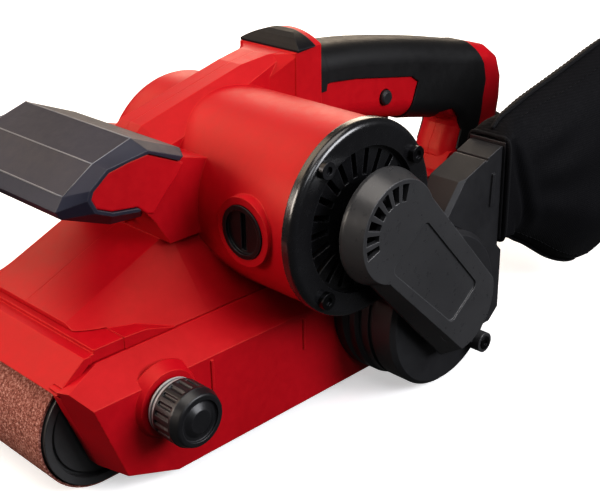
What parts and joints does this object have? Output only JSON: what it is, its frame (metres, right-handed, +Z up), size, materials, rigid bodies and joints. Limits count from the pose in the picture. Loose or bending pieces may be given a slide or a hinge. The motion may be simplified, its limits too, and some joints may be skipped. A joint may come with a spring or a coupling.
{
  "type": "belt sander",
  "caption": "Hand-held belt sander with closed rear handle, padded front handle, transverse motor, side drive cover, tracking knob, tension lever and pull-off dust bag.",
  "frame": {"origin": "in the flat sanding face of the belt, in the middle of its width, between the two rollers", "axes": "-X to the front of the tool, -Y to the drive and dust bag side, +Z up out of the work"},
  "size_m": [0.3672, 0.144, 0.1366],
  "materials": {
    "red_plastic": "satin",
    "black_plastic": "fine grain",
    "gloss_black": "gloss",
    "knob_plastic": "satin",
    "roller_plastic": "satin",
    "soft_grip": "matt",
    "drum_rubber": "matt",
    "abrasive_cloth": "gritty",
    "bag_cloth": "woven",
    "slide_pad": "graphite",
    "steel": "bright",
    "black_steel": "black oxide",
    "cast_alloy": "as cast",
    "bronze": "plain",
    "copper": "enamelled",
    "carbon": "matt"
  },
  "bodies": {
    "frame": {"housing_left": "red_plastic", "housing_right": "red_plastic", "housing_screws": "steel", "base_frame": "cast_alloy", "sole_plate": "steel", "sole_pad": "slide_pad", "sole_screws": "steel", "side_cover": "red_plastic", "tracking_bush": "bronze", "nose_guard": "red_plastic", "rear_grip": "soft_grip", "thumb_pad": "gloss_black", "front_grip": "soft_grip", "switch_module": "black_plastic", "cord_gland": "soft_grip", "stator_core": "steel", "field_coils": "copper", "motor_bearings": "steel", "brush_holders": "bronze", "brushes": "carbon", "brush_caps": "gloss_black", "motor_end_cover": "gloss_black", "flange_screws": "black_steel", "drive_belt": "drum_rubber", "drive_housing": "black_plastic", "drive_cover": "black_plastic", "drive_cover_screws": "black_steel", "dust_duct": "black_plastic", "drum_bearings": "steel", "counter_bearings": "steel", "sanding_belt": "abrasive_cloth", "tension_spring": "steel"},
    "motor": {"motor_shaft": "steel", "armature_core": "steel", "armature_windings": "copper", "commutator": "copper", "fan": "black_plastic", "motor_pulley": "cast_alloy"},
    "counter": {"pinion_shaft": "steel", "counter_pulley": "cast_alloy"},
    "drum": {"drive_drum": "cast_alloy", "drum_sleeve": "drum_rubber", "drum_shaft": "steel", "drum_nut": "steel", "drum_gear": "steel"},
    "slider": {"tension_slider": "steel", "yoke_pivot": "steel"},
    "yoke": {"roller_yoke": "steel", "roller_axle": "steel"},
    "front_roller": {"front_roller": "roller_plastic", "roller_bushes": "bronze"},
    "lever": {"tension_lever": "black_plastic"},
    "knob": {"tracking_knob": "knob_plastic", "tracking_screw": "steel"},
    "trigger": {"trigger": "black_plastic"},
    "lock": {"lock_button": "black_plastic"},
    "bag": {"bag_collar": "black_plastic", "dust_bag": "bag_cloth", "bag_rail": "black_plastic"}
  },
  "joints": [
    {"name": "motor_spin", "type": "hinge", "parent": "frame", "child": "motor", "pos_m": [0.0214, 0, 0.0863], "axis": [0, 1, 0], "continuous": true},
    {"name": "counter_spin", "type": "hinge", "parent": "frame", "child": "counter", "pos_m": [0.062, 0, 0.042], "axis": [0, 1, 0], "continuous": true},
    {"name": "drum_spin", "type": "hinge", "parent": "frame", "child": "drum", "pos_m": [0.078, 0, 0.027], "axis": [0, 1, 0], "continuous": true},
    {"name": "tension_slide", "type": "slide", "parent": "frame", "child": "slider", "axis": [1, 0, 0], "range_m": [0, 0.006], "deforming": ["tension_spring"]},
    {"name": "yoke_steer", "type": "hinge", "parent": "slider", "child": "yoke", "pos_m": [-0.039, 0, 0.025], "axis": [0, 0, 1], "range_deg": [-0.5, 0.5]},
    {"name": "front_roller_spin", "type": "hinge", "parent": "yoke", "child": "front_roller", "pos_m": [-0.0702, 0, 0.025], "axis": [0, 1, 0], "continuous": true},
    {"name": "tension_lever_turn", "type": "hinge", "parent": "frame", "child": "lever", "pos_m": [-0.008, 0, 0.025], "axis": [0, -1, 0], "range_deg": [0, 35]},
    {"name": "tracking_knob_turn", "type": "hinge", "parent": "frame", "child": "knob", "pos_m": [-0.0545, 0, 0.0344], "axis": [0, 1, 0], "range_deg": [-180, 180]},
    {"name": "trigger_press", "type": "hinge", "parent": "frame", "child": "trigger", "pos_m": [0.095, 0, 0.098], "axis": [0, -1, 0], "range_deg": [0, 6], "stiffness_Nm_per_rad": 0.4, "springref_deg": -5.73},
    {"name": "lock_button_press", "type": "slide", "parent": "frame", "child": "lock", "axis": [0, 1, 0], "range_m": [0, 0.003], "stiffness_N_per_m": 600, "springref_m": -0.001},
    {"name": "bag_pull_off", "type": "slide", "parent": "frame", "child": "bag", "axis": [1, 0, 0], "range_m": [0, 0.03]}
  ],
  "couplings": [
    {"joint": "counter_spin", "follows": "motor_spin", "ratio": 0.65217},
    {"joint": "drum_spin", "follows": "motor_spin", "ratio": -0.32609},
    {"joint": "front_roller_spin", "follows": "motor_spin", "ratio": -0.35265},
    {"joint": "tension_lever_turn", "follows": "tension_slide", "rad_per_m": 101.81},
    {"joint": "yoke_steer", "follows": "tracking_knob_turn", "ratio": 0.0027778}
  ]
}
